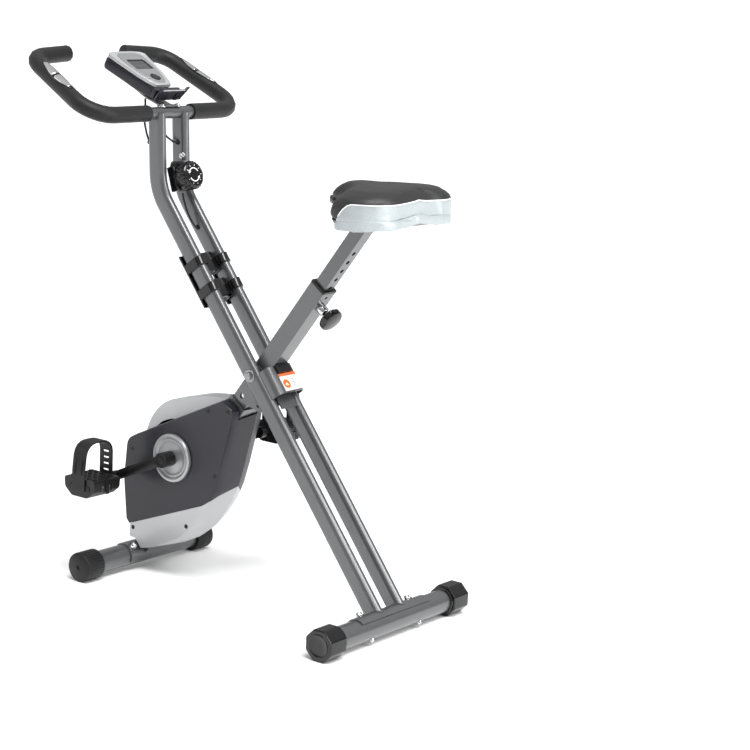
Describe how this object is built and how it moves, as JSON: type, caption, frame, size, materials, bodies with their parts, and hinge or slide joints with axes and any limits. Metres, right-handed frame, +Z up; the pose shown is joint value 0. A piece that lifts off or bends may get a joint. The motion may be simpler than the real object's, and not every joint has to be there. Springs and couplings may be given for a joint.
{
  "type": "folding exercise bike",
  "caption": "Folding X-frame exercise bike with enclosed magnetic drive, height-adjustable saddle, foam loop handlebar and display.",
  "frame": {"origin": "on the floor under the middle of the bounding box, unfolded and ready to ride", "axes": "+X forward, the way the rider faces; +Y to the rider's left; +Z up"},
  "size_m": [0.8804, 0.454, 1.0883],
  "materials": {
    "grey_paint": "semi-gloss",
    "chrome": "polished",
    "steel": "satin",
    "cast_iron": "matte",
    "dark_plastic": "semi-gloss",
    "pale_plastic": "semi-gloss",
    "black_plastic": "satin",
    "black_foam": "matte foam",
    "black_rubber": "matte",
    "black_vinyl": "semi-gloss vinyl",
    "lcd_glass": "glossy"
  },
  "bodies": {
    "seat_frame": {"seat_tube": "grey_paint", "seat_tube_collar": "black_plastic", "main_spine": "grey_paint", "front_foot_tube": "grey_paint", "left_upper_cover": "dark_plastic", "right_upper_cover": "dark_plastic", "left_lower_cover": "pale_plastic", "right_lower_cover": "pale_plastic", "pulley_hood": "pale_plastic", "crank_bearing": "steel", "drive_belt": "black_rubber"},
    "lock_pin": {"lock_pin": "chrome"},
    "seat_pin": {"seat_pin": "black_plastic"},
    "seat": {"seat_post": "grey_paint", "saddle_pan": "black_plastic", "saddle_cushion": "black_vinyl"},
    "crank": {"crank_axle": "steel", "left_crank_arm": "black_plastic", "right_crank_arm": "black_plastic", "left_crank_disc": "pale_plastic", "right_crank_disc": "pale_plastic", "crank_pulley": "cast_iron"},
    "left_pedal": {"left_pedal": "black_plastic", "left_pedal_strap": "black_rubber"},
    "right_pedal": {"right_pedal": "black_plastic", "right_pedal_strap": "black_rubber"},
    "flywheel": {"flywheel": "cast_iron", "flywheel_axle": "steel"},
    "magnet_bracket": {"magnet_bracket": "steel"},
    "front_wheel_left": {"front_wheel_left": "black_plastic"},
    "front_wheel_right": {"front_wheel_right": "black_plastic"},
    "handlebar_frame": {"left_frame_tube": "grey_paint", "right_frame_tube": "grey_paint", "rear_foot_tube": "grey_paint", "rear_foot_plate": "grey_paint", "rear_foot_cap_left": "black_rubber", "rear_foot_cap_right": "black_rubber", "handlebar_tube": "grey_paint", "left_grip": "black_foam", "right_grip": "black_foam", "console_housing": "dark_plastic", "console_bezel": "pale_plastic", "lcd_window": "lcd_glass", "tablet_ledge": "dark_plastic", "console_bracket": "grey_paint", "tension_box": "black_plastic", "bottle_holder": "black_plastic", "holder_clip_upper_left": "black_plastic", "holder_clip_upper_right": "black_plastic", "holder_clip_lower_left": "black_plastic", "holder_clip_lower_right": "black_plastic", "rubber_stop": "black_rubber", "latch_bracket": "grey_paint", "fold_plate": "grey_paint", "pivot_bolt": "chrome", "left_pulse_cable": "black_plastic", "right_pulse_cable": "black_plastic", "tension_cable": "black_plastic"},
    "console_button": {"console_button": "pale_plastic"},
    "tension_dial": {"tension_dial": "black_plastic"}
  },
  "joints": [
    {"name": "fold", "type": "hinge", "parent": "seat_frame", "child": "handlebar_frame", "pos_m": [-0.06523, 0, 0.4675], "axis": [0, -1, 0], "range_deg": [0, 44]},
    {"name": "crank_spin", "type": "hinge", "parent": "seat_frame", "child": "crank", "pos_m": [0.13877, 0, 0.263], "axis": [0, 1, 0], "continuous": true},
    {"name": "left_pedal_spin", "type": "hinge", "parent": "crank", "child": "left_pedal", "pos_m": [0.2621, 0.152, 0.20809], "axis": [0, 1, 0], "continuous": true},
    {"name": "right_pedal_spin", "type": "hinge", "parent": "crank", "child": "right_pedal", "pos_m": [0.01544, -0.152, 0.31791], "axis": [0, 1, 0], "continuous": true},
    {"name": "flywheel_spin", "type": "hinge", "parent": "seat_frame", "child": "flywheel", "pos_m": [0.17587, 0, 0.14521], "axis": [0, 1, 0], "continuous": true},
    {"name": "seat_height", "type": "slide", "parent": "seat_frame", "child": "seat", "axis": [-0.599, 0, 0.8007], "range_m": [-0.046, 0.069]},
    {"name": "seat_pin_pull", "type": "slide", "parent": "seat_frame", "child": "seat_pin", "axis": [-0.8007, 0, -0.599], "range_m": [0, 0.006], "stiffness_N_per_m": 900, "springref_m": -0.002},
    {"name": "lock_pin_slide", "type": "slide", "parent": "seat_frame", "child": "lock_pin", "axis": [0, 1, 0], "range_m": [-0.01, 0.006]},
    {"name": "tension_turn", "type": "hinge", "parent": "handlebar_frame", "child": "tension_dial", "pos_m": [0.16977, -0.008, 0.8366], "axis": [-0.9511, 0, 0.309], "range_deg": [0, 300]},
    {"name": "magnet_swing", "type": "hinge", "parent": "seat_frame", "child": "magnet_bracket", "pos_m": [0.21753, 0.03, 0.20697], "axis": [0, 1, 0], "range_deg": [-8, 0]},
    {"name": "console_button_press", "type": "slide", "parent": "handlebar_frame", "child": "console_button", "axis": [-0.4633, 0, 0.8862], "range_m": [-0.0015, 0], "stiffness_N_per_m": 200, "springref_m": 0.0005},
    {"name": "left_wheel_spin", "type": "hinge", "parent": "seat_frame", "child": "front_wheel_left", "pos_m": [0.26131, 0.165, 0.031], "axis": [0, 1, 0], "continuous": true},
    {"name": "right_wheel_spin", "type": "hinge", "parent": "seat_frame", "child": "front_wheel_right", "pos_m": [0.26131, -0.165, 0.031], "axis": [0, 1, 0], "continuous": true}
  ],
  "couplings": [
    {"joint": "flywheel_spin", "follows": "crank_spin", "ratio": 8.32},
    {"joint": "magnet_swing", "follows": "tension_turn", "ratio": -0.026667}
  ]
}
